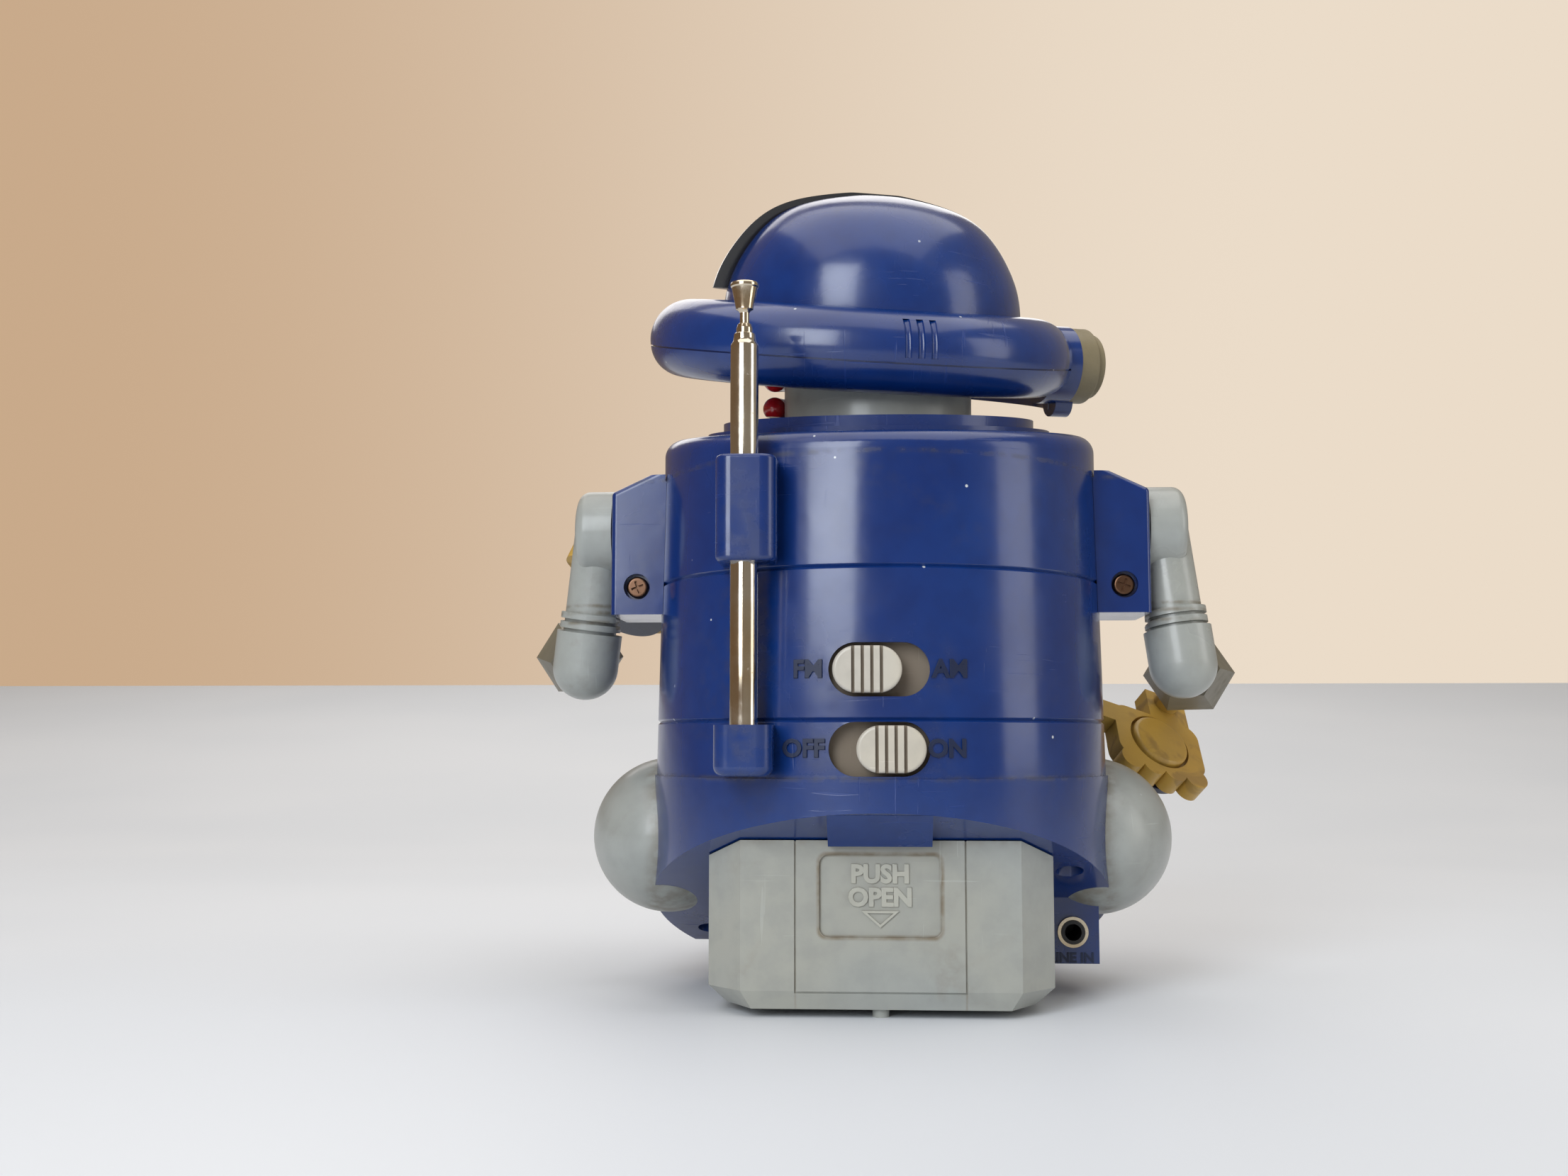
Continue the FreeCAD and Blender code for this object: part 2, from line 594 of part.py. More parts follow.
def visor_solid(grow):
    """The dome made a little larger, mostly to the sides, and kept in front of the ears."""
    wide = (DOME[0][0] + VISOR_PROUD + grow) / DOME[0][0]
    swell = FreeCAD.Matrix()
    swell.scale(wide, wide, 1.0 + (VISOR_RISE + grow) / DOME_TOP)
    front = box(-80, 80, -80, VISOR_BACK, VISOR_LOW, 80)
    return dome_solid(0).transformGeometry(swell).common(front)


def visor():
    shell = visor_solid(0).cut(dome_solid(0))
    return max(shell.Solids, key=lambda solid: solid.Volume)


def eye_lamps():
    lamps = []
    envelope, filled = visor_solid(1.3), visor_solid(0)
    for side in (-1, 1):
        pin = rod((side * 12.5, -60, 21.5), (side * 12.5, -8, 21.5), 7.0)
        lamp = pin.common(envelope).cut(filled)
        lamps.append(max(lamp.Solids, key=lambda solid: solid.Volume))
    return Part.makeCompound(lamps)


def ear_collar():
    collar = ear_disc(-EAR_COLLAR, 0, EAR_R).cut(ring_top(0)).cut(ring_underside(0))
    return max(collar.Solids, key=lambda solid: solid.Volume)


def ear_cap():
    step = 5.0
    cap = ear_disc(0, step, EAR_R - 0.3).fuse(ear_disc(step, step + 2.2, EAR_R - 1.6))
    cap = cap.removeSplitter()
    outside = [edge for edge in cap.Edges if edge.Curve.TypeId == "Part::GeomCircle"
               and (edge.CenterOfMass - ear_foot()).dot(ear_way()) > 1.0]
    return cap.makeFillet(0.5, outside)


BOOM_R, BOOM_Z, BOOM_END = 47.5, -10.6, 232.0


def boom_arm():
    bar = rod((0, 0, BOOM_Z - 0.9), (0, 0, BOOM_Z + 0.9), BOOM_R + 1.8).cut(
        rod((0, 0, BOOM_Z - 5), (0, 0, BOOM_Z + 5), BOOM_R - 1.8))
    start, end = math.radians(EAR_ANGLE - 1.0), math.radians(BOOM_END)
    middle = (start + end) / 2
    reach = 90.0
    wedge = prism([(0, 0, -20), (reach * math.cos(start), reach * math.sin(start), -20),
                   (reach * math.cos(middle), reach * math.sin(middle), -20),
                   (reach * math.cos(end), reach * math.sin(end), -20)], (0, 0, 30))
    bar = ring_placed(bar.common(wedge))
    hanger = ear_disc(-3.0, 1.5, 3.2)
    hanger.translate(V(0, 0, 0.2 - EAR_R))
    return bar.fuse(hanger).cut(ear_collar()).cut(ear_cap()).cut(head_base()).removeSplitter()


def boom_microphone():
    angle = math.radians(BOOM_END)
    tip = ring_placed(ball((BOOM_R * math.cos(angle), BOOM_R * math.sin(angle), BOOM_Z), 3.1))
    return tip.cut(boom_arm())


def neck():
    tube = rod((0, 0, 110.0), (0, 0, 175), NECK_R).cut(rod((0, 0, 100), (0, 0, 180), NECK_R - NECK_WALL))
    flange = rod((0, 0, 110.0), (0, 0, 112.0), NECK_R + 3.0).cut(
        rod((0, 0, 100), (0, 0, 120), NECK_R - NECK_WALL))
    floor_z = -RING_DEPTH + 0.8
    roof = placed_head(prism([(-90, -90, floor_z), (90, -90, floor_z), (90, 90, floor_z),
                              (-90, 90, floor_z)], (0, 0, 90)))
    slot = box(-5.0, 5.0, -30, -10, TONGUE_Z - 2.0, TONGUE_Z + 3.4)
    tube = tube.fuse(flange).cut(roof).cut(placed_head(ring_underside(0)))
    return tube.cut(turned(slot, (0, 0, 0), (0, 0, 1), HEAD_TURN)).removeSplitter()


LIP_LOW_Z, LIP_HIGH_Z, LIP_SPAN = 129.9, 135.2, 62.0
TONGUE_Z, LIP_LOW_RISE = LIP_LOW_Z + 3.4, 8.0


def lip(z, rise):
    """A fat rounded bar that bends round the front of the neck; rise lifts it towards the front."""
    angle = math.radians(LIP_SPAN)
    centre = V(LIP_RING_R * math.sin(angle), -LIP_RING_R * math.cos(angle), 0)
    ring = Part.makeTorus(LIP_RING_R, LIP_R, V(0, 0, 0), V(0, 0, 1))
    wedge = prism([(0, 0, -9), (60 * math.sin(angle), -60 * math.cos(angle), -9), (60, -90, -9),
                   (-60, -90, -9), (-60 * math.sin(angle), -60 * math.cos(angle), -9)], (0, 0, 18))
    bar = ring.common(wedge)
    ends = [ball((side * centre.x, centre.y, 0), LIP_R) for side in (-1, 1)]
    bar = bar.multiFuse(ends).removeSplitter()
    bar.rotate(V(0, 0, 0), V(1, 0, 0), -rise)
    bar.rotate(V(0, 0, 0), V(0, 0, 1), HEAD_TURN)
    bar.translate(V(0, 0, z))
    return bar


def upper_lip():
    bar = lip(LIP_HIGH_Z, HEAD_TILT)
    return bar.cut(rod((0, 0, 100), (0, 0, 180), NECK_R)).cut(placed_head(head_base()))


def lower_lip():
    bar = lip(LIP_LOW_Z, LIP_LOW_RISE)
    bar = bar.cut(rod((0, 0, 100), (0, 0, 180), NECK_R + 0.35))
    for turn in (0, HEAD_TURN, 2 * HEAD_TURN):
        clear = above(-DECK_SLOPE, DECK_HEIGHT + DISC_H + 0.5)
        bar = bar.common(turned(clear, (0, 0, 0), (0, 0, 1), turn))
    tongue = box(-4.4, 4.4, -LIP_RING_R, -14.0, TONGUE_Z - 1.5, TONGUE_Z + 1.5)
    return bar.fuse(turned(tongue, (0, 0, 0), (0, 0, 1), HEAD_TURN)).removeSplitter()


# ---- arms and hands (drawn for the robot's left, and mirrored) -------------------------------------
def bracket():
    inner = 40.0
    block = prism([(inner, -BRACKET_DEPTH, 82.5), (BRACKET_OUT, -BRACKET_DEPTH, 82.5),
                   (BRACKET_OUT, -BRACKET_DEPTH, 109.6), (50.5, -BRACKET_DEPTH, 113.6),
                   (inner, -BRACKET_DEPTH, 113.6)], (0, 2 * BRACKET_DEPTH, 0))
    block = fillet(block, 1.2, lambda edge: edge.BoundBox.XMin > 50.0 and edge.BoundBox.ZMax > 83)
    block = block.cut(barrel_solid(-0.03, False)).cut(rod((0, 0, 112.1), (0, 0, 120), BARREL_R_HIGH + 0.3))
    block = block.cut(rod((40, 0, SHOULDER_Z), (70, 0, SHOULDER_Z), AXLE_R + AXLE_GAP))
    block = block.cut(rod(bracket_screw_point(6.0), bracket_screw_point(20.0), 1.2))
    return block.cut(rod(bracket_screw_point(9.4), bracket_screw_point(20.0), 2.9)).removeSplitter()


def bracket_screw_point(y):
    return (53.2, y, 88.6)


def screw(start, end, way):
    """A cross-head screw from its tip to the top of its head."""
    start, end, way = V(*start), V(*end), V(*way)
    shank = Part.makeCylinder(1.15, (end - start).Length, start, way)
    head = Part.makeCylinder(2.35, 1.6, end - way * 1.6, way)
    rim = [edge for edge in head.Edges if (edge.CenterOfMass - end).Length < 0.05]
    head = head.makeFillet(0.6, rim)
    body = shank.fuse(head)
    for size in ((0.5, 2.8), (2.8, 0.5)):
        slot = Part.makeBox(size[0], size[1], 1.0, V(-size[0] / 2, -size[1] / 2, -0.8))
        slot.rotate(V(0, 0, 0), V(0, 0, 1), 20)
        slot.Placement = FreeCAD.Placement(end, FreeCAD.Rotation(V(0, 0, 1), way)) * slot.Placement
        body = body.cut(slot)
    return body.removeSplitter()


def bracket_screws():
    left = screw(bracket_screw_point(6.2), bracket_screw_point(11.2), (0, 1, 0))
    return Part.makeCompound([left, mirrored(left)])


def base_screw_heads():
    """Where the heads lie, sunk in wells above the sloping underside."""
    return [(x, y, CUT_HEIGHT + CUT_SLOPE * y + 4.4) for x, y in ((-39.4, 20.5), (39.4, -16.0))]


def base_screws():
    screws = [screw((x, y, z + 14.0), (x, y, z), (0, 0, -1)) for x, y, z in base_screw_heads()]
    return Part.makeCompound(screws)


def base_screw_posts():
    return [rod((x, y, z - 6.0), (x, y, z + 12.0), 4.2) for x, y, z in base_screw_heads()]


def base_screw_wells():
    wells = []
    for x, y, z in base_screw_heads():
        wells += [rod((x, y, z - 9.0), (x, y, z + 1.7), 2.9), rod((x, y, z), (x, y, z + 30.0), 1.2)]
    return wells


def arm_solid():
    """One arm in its middle position: hub, upper arm with two collars, round elbow and forearm."""
    hub = rod((HUB_IN, 0, SHOULDER_Z), (HUB_OUT, 0, SHOULDER_Z), HUB_R)
    hub = fillet(hub, 2.6, lambda edge: edge.BoundBox.XMin > HUB_OUT - 0.1 and edge.BoundBox.YLength > 5)
    shoulder, elbow = V(ARM_X, 0, SHOULDER_Z), V(ELBOW_X, 0, ELBOW_Z)
    way = elbow - shoulder
    along = lambda share: tuple(shoulder + way * share)
    upper = rod(along(0), along(1), ARM_R)
    capsule = rod(along(0.74), along(1), ELBOW_R)
    collars = [rod(along(share), along(share + 0.045), ARM_R + 0.9) for share in (0.6, 0.67)]
    forearm = along_forearm(rod((0, 0, 0), (0, -CUFF_START - 1.0, 0), 6.4))
    parts = [upper, capsule, ball(tuple(elbow), ELBOW_R), forearm] + collars
    arm = hub.multiFuse(parts).cut(box(40, HUB_IN, -40, 40, 80.0, 120)).cut(cuff())
    return arm.removeSplitter()


def arm_half(outer_half):
    """The moulded arm splits down the plane of its own length."""
    whole = arm_solid()
    lean = math.atan2(ELBOW_X - ARM_X, SHOULDER_Z - ELBOW_Z)
    splitter = Part.makeBox(60, 120, 160, V(0, -60, -80))
    splitter.rotate(V(0, 0, 0), V(0, 1, 0), -math.degrees(lean))
    splitter.translate(V(ARM_X, 0, SHOULDER_Z))
    if outer_half:
        return whole.common(splitter).removeSplitter()
    inner = whole.cut(splitter)
    axle = rod((BARREL_R_HIGH - 3.5, 0, SHOULDER_Z), (HUB_IN + 1, 0, SHOULDER_Z), AXLE_R)
    return inner.fuse(axle).removeSplitter()


def along_forearm(shape):
    """From the elbow's frame, with the forearm along -Y, to the arm in its middle position."""
    copy = shape.copy()
    copy.rotate(V(0, 0, 0), V(1, 0, 0), -FOREARM_RISE)
    copy.rotate(V(0, 0, 0), V(0, 0, 1), FOREARM_SPLAY)
    copy.translate(V(ELBOW_X, 0, ELBOW_Z))
    return copy


def swung(shape, degrees):
    return turned(shape, (0, 0, SHOULDER_Z), (1, 0, 0), degrees)


def elbow_and_forearm(swing):
    """The elbow's centre and the forearm's direction once the arm has swung."""
    path = Part.makePolygon([V(0, 0, 0), V(0, -1, 0)])
    ends = [vertex.Point for vertex in swung(along_forearm(path), swing).Vertexes]
    return ends[0], ends[1] - ends[0]


def hexagon(radius, y):
    corners = []
    for step in range(7):
        angle = math.radians(60 * step)
        corners.append(V(radius * math.cos(angle), y, radius * 0.92 * math.sin(angle)))
    return Part.makePolygon(corners)


def cuff():
    flare = Part.makeLoft([hexagon(7.6, -CUFF_START), hexagon(CUFF_R, -CUFF_END)], True)
    hollow = Part.makeLoft([hexagon(6.0, -CUFF_START - 3), hexagon(CUFF_R - 1.4, -CUFF_END - 0.01)], True)
    spigot = rod((0, -CUFF_START - 1, 0), (0, -CUFF_END + 4, 0), 2.4)
    return along_forearm(flare.cut(hollow).fuse(spigot).removeSplitter())


HAND_THICK, BUTTON_R, RECORD_R = 5.0, 7.4, 10.5
HAND_TURN = 22.0


def hand_plate():
    """The glove in its own plane: a rounded palm, four finger ends, a thumb and the wrist's heel."""
    palm = fillet(box(-12, 12, -8, 9, -HAND_THICK, 0), 4.0, lambda edge: edge.BoundBox.ZLength > 4)
    fingers = [rod((x, -8.4, -HAND_THICK), (x, -8.4, 0), 3.1) for x in (-8.8, -2.9, 2.9, 8.8)]
    thumb = [rod((16.5, 5.5, -HAND_THICK), (16.5, 5.5, 0), 2.9),
             box(10, 16.5, 2.6, 8.4, -HAND_THICK, 0)]
    heel = box(-10.0, 1.0, 5.0, 18.0, -HAND_THICK, 0)
    glove = palm.multiFuse(fingers + thumb + [heel]).removeSplitter()
    glove.rotate(V(0, 0, 0), V(0, 0, 1), HAND_TURN)
    return glove


def hand_pieces():
    """Glove, button and record in the glove's plane. The button shows on its upper side."""
    button = rod((0, 0, -1.6), (0, 0, 1.0), BUTTON_R)
    button = fillet(button, 0.9, lambda edge: edge.BoundBox.ZMin > 0.9 and edge.BoundBox.XLength > 5)
    pin = rod((0, 0, -HAND_THICK - 2.4), (0, 0, -1), 1.95)
    glove = hand_plate().cut(rod((0, 0, -1.6), (0, 0, 1), BUTTON_R + 0.7))
    glove = glove.cut(rod((0, 0, -10), (0, 0, 1), 2.0))
    record = rod((0, 0, -HAND_THICK - 2.0), (0, 0, -HAND_THICK - 0.4), RECORD_R)
    record = record.cut(rod((0, 0, -20), (0, 0, 5), 2.0))
    heel = Part.Vertex(V(-10.5, 13.0, -HAND_THICK / 2))
    return {"hand": glove, "hand_button": button.fuse(pin).removeSplitter(), "record_disc": record,
            "heel": heel}


def lowered_hand(pieces):
    """Hang the hand's pieces below the end of the forearm, as the arm that is swung back holds it."""
    facing = FreeCAD.Rotation(V(*HAND_ACROSS), V(*HAND_UP), V(*HAND_FACING), "ZXY")
    place = FreeCAD.Placement(V(*HAND_CENTRE), facing)
    placed = {}
    for name, shape in pieces.items():
        placed[name] = shape.copy()
        placed[name].Placement = place * placed[name].Placement
    return placed


def hand_parts(side):
    """The resting hand with its wrist stalk: the right one lowered, the left one turned up."""
    pieces = hand_pieces()
    if side == "left":
        flip = FreeCAD.Matrix()
        flip.scale(1, 1, -1)
        pieces = {name: shape.transformGeometry(flip) for name, shape in pieces.items()}
        for shape in pieces.values():
            shape.translate(V(0, 0, -HAND_THICK))
    placed = lowered_hand(pieces)
    elbow, way = elbow_and_forearm(ARM_SWING)
    start, end = elbow + way * (CUFF_START + 5.0), elbow + way * 39.0
    stalk = rod(tuple(start), tuple(end), 4.2)
    stalk = stalk.fuse(ball(tuple(end), 4.2)).fuse(rod(tuple(end), tuple(placed["heel"].Vertexes[0].Point), 3.4))
    stalk = stalk.cut(rod(tuple(start), tuple(elbow + way * (CUFF_END - 3.4)), 2.46))
    del placed["heel"]
    for name in ("hand_button", "record_disc"):
        stalk = stalk.cut(placed[name])
    placed["hand"] = placed["hand"].fuse(stalk).removeSplitter()
    if side == "left":
        placed = {name: swung(shape, -2 * ARM_SWING) for name, shape in placed.items()}
        elbow, way = elbow_and_forearm(-ARM_SWING)
        placed = {name: turned(shape, elbow, way, -RAISED_TWIST) for name, shape in placed.items()}
    return placed


def arm_parts(side):
    """All of one arm in its resting swing. The left arm rests forward, the right one back."""
    swing = -ARM_SWING if side == "left" else ARM_SWING
    parts = {"arm_inner": arm_half(False), "arm_outer": arm_half(True), "cuff": cuff()}
    parts = {name: swung(shape, swing) for name, shape in parts.items()}
    parts.update(hand_parts(side))
    if side == "right":
        parts = {name: mirrored(shape) for name, shape in parts.items()}
    return {side + "_" + name: shape for name, shape in parts.items()}


def body_envelope():
    return base_solid(0).fuse(barrel_solid(0, False))


def leg():
    hip = ball((0, 0, 0), HIP_R)
    stretch = FreeCAD.Matrix()
    stretch.scale(1.0, HIP_LENGTH, 1.0)
    hip = hip.transformGeometry(stretch)
    hip.translate(V(HIP_X, HIP_Y, HIP_Z))
    thigh = rod((46, -14, 32), (24, -50, 22), 11.5).fuse(ball((24, -50, 22), 11.5))
    sole_side = box(-5, 90, -90, 90, -20, BOOT_TOP - 12.0)
    return hip.fuse(thigh).cut(body_envelope()).cut(sole_side).cut(box(-90, 3, -90, 90, -20, 90)).removeSplitter()


BOOT_IN, BOOT_OUT, BOOT_BACK, BOOT_TOE, BOOT_TOP = 4.0, 38.0, -22.0, -76.0, 25.0


def boot():
    block = box(BOOT_IN, BOOT_OUT, BOOT_TOE, BOOT_BACK, 0.0, BOOT_TOP)
    block = fillet(block, 12.0, lambda edge: edge.BoundBox.ZLength > 20)
    block = fillet(block, 9.0, lambda edge: edge.BoundBox.ZMin > BOOT_TOP - 0.1)
    block = fillet(block, 1.5, lambda edge: edge.BoundBox.ZMax < 0.1)
    return block.cut(body_envelope()).cut(leg()).removeSplitter()


# ---- all pieces ----------------------------------------------------------------------------------
def all_parts():
    parts = {
        "base_housing": base_housing(), "rear_housing": rear_housing(), "front_housing": front_housing(),
        "top_cover": top_cover(), "battery_case": battery_case(), "battery_cells": battery_cells(),
        "battery_contacts": battery_contacts(), "battery_cover": battery_cover(),
        "line_in_jack": line_in_jack(), "jack_ring": jack_ring(),
        "tuning_dial": dial(1), "volume_dial": dial(-1), "dial_controls": dial_controls(),
        "speaker": speaker(), "speaker_grille": speaker_grille(), "circuit_board": circuit_board(),
        "switch_bodies": switch_bodies(), "gear_deck": gear_deck(), "motor": motor(),
        "crank_gear": crank_gear(), "motor_pinion": motor_pinion(),
        "band_switch_knob": switch_knob(BAND_KNOB_X, BAND_Z, KNOB_R),
        "power_switch_knob": switch_knob(POWER_KNOB_X, POWER_Z, KNOB_R),
        "antenna_clip": antenna_clip(), "antenna_foot": antenna_foot(), "antenna_tube": antenna_tube(),
        "antenna_middle": antenna_middle(), "antenna_rod": antenna_rod(),
        "neck": neck(), "upper_lip": upper_lip(), "lower_lip": lower_lip(),
        "left_bracket": bracket(), "right_bracket": mirrored(bracket()),
        "bracket_screws": bracket_screws(), "base_screws": base_screws(),
        "left_leg": leg(), "right_leg": mirrored(leg()).cut(base_housing()), "left_boot": boot(), "right_boot": mirrored(boot()),
    }
    head_pieces = {"head_shell": head_shell, "head_base": head_base, "visor": visor, "eye_lamps": eye_lamps,
                   "ear_collar": ear_collar, "ear_cap": ear_cap, "boom_arm": boom_arm,
                   "boom_microphone": boom_microphone}
    for name, make in head_pieces.items():
        parts[name] = placed_head(make())
    for side in ("left", "right"):
        parts.update(arm_parts(side))
    return parts


os.makedirs("parts", exist_ok=True)
footprint = FreeCAD.BoundBox()
for node, shape in all_parts().items():
    shape.translate(V(AXIS_X, AXIS_Y, 0))
    footprint.add(shape.BoundBox)
    shape.exportStep("parts/" + node + ".step")
    print(f"{node:20s} solids {len(shape.Solids)} valid {shape.isValid()} volume {shape.Volume:9.1f}")
print("box", footprint)
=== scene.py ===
"""Looks for the toy radio robot: aged glossy plastic, plated metal, moulded lettering and soft light."""
import json
import math

import bmesh
import bpy
from mathutils import Matrix, Vector


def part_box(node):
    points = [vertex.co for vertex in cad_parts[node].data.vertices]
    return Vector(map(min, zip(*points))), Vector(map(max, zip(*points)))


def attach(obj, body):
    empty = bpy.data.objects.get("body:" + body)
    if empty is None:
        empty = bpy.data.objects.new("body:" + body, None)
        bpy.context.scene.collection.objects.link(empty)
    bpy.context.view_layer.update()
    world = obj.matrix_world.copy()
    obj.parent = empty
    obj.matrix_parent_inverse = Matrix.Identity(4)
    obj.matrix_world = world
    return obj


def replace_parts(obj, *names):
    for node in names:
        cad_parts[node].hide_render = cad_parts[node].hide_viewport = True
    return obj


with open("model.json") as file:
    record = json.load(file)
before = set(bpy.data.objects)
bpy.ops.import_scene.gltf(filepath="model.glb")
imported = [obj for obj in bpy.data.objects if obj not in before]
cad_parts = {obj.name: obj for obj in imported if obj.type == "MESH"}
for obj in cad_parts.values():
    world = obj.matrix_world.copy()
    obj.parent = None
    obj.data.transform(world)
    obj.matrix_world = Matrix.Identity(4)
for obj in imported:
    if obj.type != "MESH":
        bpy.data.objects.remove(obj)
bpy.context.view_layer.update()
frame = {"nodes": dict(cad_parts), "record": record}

MM = 0.001
nodes = frame["nodes"]


def middle(node):
    low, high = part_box(node)
    return (low + high) / 2


axis_x, axis_y = middle("top_cover").x, middle("top_cover").y
seam_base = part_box("base_housing")[1].z
seam_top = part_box("rear_housing")[1].z
antenna = middle("antenna_tube")
band_knob, power_knob = middle("band_switch_knob"), middle("power_switch_knob")
slot_x = (band_knob.x + power_knob.x) / 2
cover_low, cover_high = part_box("battery_cover")
jack = middle("jack_ring")
arm_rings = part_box("left_arm_outer")[1].z - 28.0 * MM


# ---- shading ---------------------------------------------------------------------------------------
class Shade:
    """A socket of a material under way. Sums on it add Math nodes; node() adds every other kind."""

    def __init__(self, tree, socket=None):
        self.tree, self.socket = tree, socket

    def node(self, kind, inputs, output=0, **settings):
        made = self.tree.nodes.new(kind)
        stops = settings.pop("stops", None)
        for name, value in settings.items():
            setattr(made, name, value)
        if stops:
            ramp = made.color_ramp.elements
            while len(ramp) < len(stops):
                ramp.new(0.5)
            for element, (place, color) in zip(ramp, stops):
                element.position, element.color = place, color
        for name, value in inputs.items():
            if isinstance(value, Shade):
                self.tree.links.new(value.socket, made.inputs[name])
            else:
                made.inputs[name].default_value = value
        return Shade(self.tree, made.outputs[output])

    def math(self, operation, *values, clamp=False):
        return self.node("ShaderNodeMath", dict(enumerate(values)), operation=operation, use_clamp=clamp)

    def __add__(self, other):
        return self.math("ADD", self, other)

    def __sub__(self, other):
        return self.math("SUBTRACT", self, other)

    def __rsub__(self, other):
        return self.math("SUBTRACT", other, self)

    def __mul__(self, other):
        return self.math("MULTIPLY", self, other)

    def __abs__(self):
        return self.math("ABSOLUTE", self)

    __radd__, __rmul__ = __add__, __mul__

    def at_least(self, value):
        return self.math("MAXIMUM", self, value)

    def at_most(self, value):
        return self.math("MINIMUM", self, value)

    def root(self):
        return self.math("SQRT", self)

    def step(self, low, high):
        """0 below low, 1 above high, smooth between; low may be the larger."""
        return self.node("ShaderNodeMapRange", {"Value": self, "From Min": low, "From Max": high},
                         interpolation_type="SMOOTHSTEP")

    def near(self, centre, width):
        """1 at centre, fading to 0 at width from it."""
        return abs(self - centre).step(width, 0.0)

    def noise(self, scale, detail=3.0, stretch=(1, 1, 1), warp=0.0, turn=(0, 0, 0)):
        place = self.node("ShaderNodeMapping", {"Vector": self, "Scale": stretch, "Rotation": turn})
        return self.node("ShaderNodeTexNoise", {"Vector": place, "Scale": scale, "Detail": detail,
                                                "Roughness": 0.55, "Distortion": warp})

    def mix(self, first, second):
        """Goes from the first colour to the second as this mask goes from 0 to 1."""
        return self.node("ShaderNodeMix", {0: self, 6: first, 7: second}, output=2,
                         data_type="RGBA", clamp_factor=True)

    def split(self):
        parts = self.tree.nodes.new("ShaderNodeSeparateXYZ")
        self.tree.links.new(self.socket, parts.inputs[0])
        return [Shade(self.tree, socket) for socket in parts.outputs]


MOST_DIRT_AND_SHADE = 0.92
PAINT_SPECK = (0.62, 0.66, 0.68)
COAT_ROUGHNESS, PLASTIC_IOR, METAL_IOR = 0.12, 1.5, 1.6
PLASTIC_RELIEF, METAL_RELIEF = 0.4 * MM, 0.06 * MM


def rgba(color, share=1.0):
    return tuple(channel * share for channel in color) + (1.0,)


def start_material(name):
    material = bpy.data.materials.new(name)
    material.use_nodes = True
    tree = material.node_tree
    shader = next(node for node in tree.nodes if node.type == "BSDF_PRINCIPLED")
    place = Shade(tree).node("ShaderNodeTexCoord", {}, output=3)
    return material, tree, shader, place


def finish_material(tree, shader, surface, constants):
    for name, value in constants.items():
        shader.inputs[name].default_value = value
    for name, value in surface.items():
        tree.links.new(value.socket, shader.inputs[name])


def plastic(name, color, aged, roughness=(0.2, 0.36), grime=0.35, specks=0.0, scratches=0.5,
            coat=0.25, peel=0.12, grain=0.0, dirt=(0.10, 0.075, 0.045), marks=None):
    """Old moulded plastic. marks(x, y, z, place) adds a mask for dirt gathered in known places and for
    painted shade; both take the dirt colour.
    """
    material, tree, shader, place = start_material(name)
    x, y, z = place.split()
    drift = place.noise(22.0, 2.0)
    mottle = place.noise(190.0, 4.0)
    body = drift.step(0.38, 0.66).mix(rgba(color), rgba(aged))
    body = (mottle.step(0.35, 0.75) * 0.35).mix(body, rgba(color, 0.72))
    film = place.noise(55.0, 5.0, warp=0.6).step(0.52, 0.74) * place.noise(420.0, 2.0).step(0.3, 0.7)
    dirt_and_shade = film * grime
    # The marks may add painted shade as well as dirt.
    if marks:
        dirt_and_shade = dirt_and_shade + marks(x, y, z, place)
    dirt_and_shade = dirt_and_shade.at_most(MOST_DIRT_AND_SHADE)
    body = dirt_and_shade.mix(body, rgba(dirt))
    hair = place.noise(58.0, 1.0, (1.0, 1.0, 24.0), 0.5, (0.5, 0.3, 0.2)).step(0.69, 0.73)
    swirl = place.noise(46.0, 1.0, (22.0, 2.0, 1.5), 0.6, (0.2, 0.5, 0.9)).step(0.70, 0.74)
    worn = (hair + swirl) * place.noise(36.0, 2.0).step(0.5, 0.66) * scratches
    body = (worn * 0.3).mix(body, rgba(color, 2.0))
    if specks:
        cell = {"Vector": place, "Scale": 230.0}
        spot = place.node("ShaderNodeTexVoronoi", cell).step(0.085, 0.055)
        chance = place.node("ShaderNodeTexVoronoi", cell, output=1).split()[0]
        chosen = chance.step(1.0 - specks, 1.02 - specks)
        body = (spot * chosen * 0.85).mix(body, rgba(PAINT_SPECK))
    low, high = roughness
    rough = low + (high - low) * place.noise(34.0, 4.0).step(0.3, 0.7) + worn * 0.2 + dirt_and_shade * 0.32
    relief = place.noise(260.0, 1.0) * peel + worn * -0.25 + dirt_and_shade * 0.15
    if grain:
        relief = relief + place.noise(1500.0, 3.0) * grain
    bump = place.node("ShaderNodeBump", {"Height": relief, "Distance": PLASTIC_RELIEF,
                                         "Strength": 0.5})
    finish_material(tree, shader, {"Base Color": body, "Roughness": rough, "Normal": bump},
                    {"Coat Weight": coat, "Coat Roughness": COAT_ROUGHNESS, "IOR": PLASTIC_IOR})
    return material


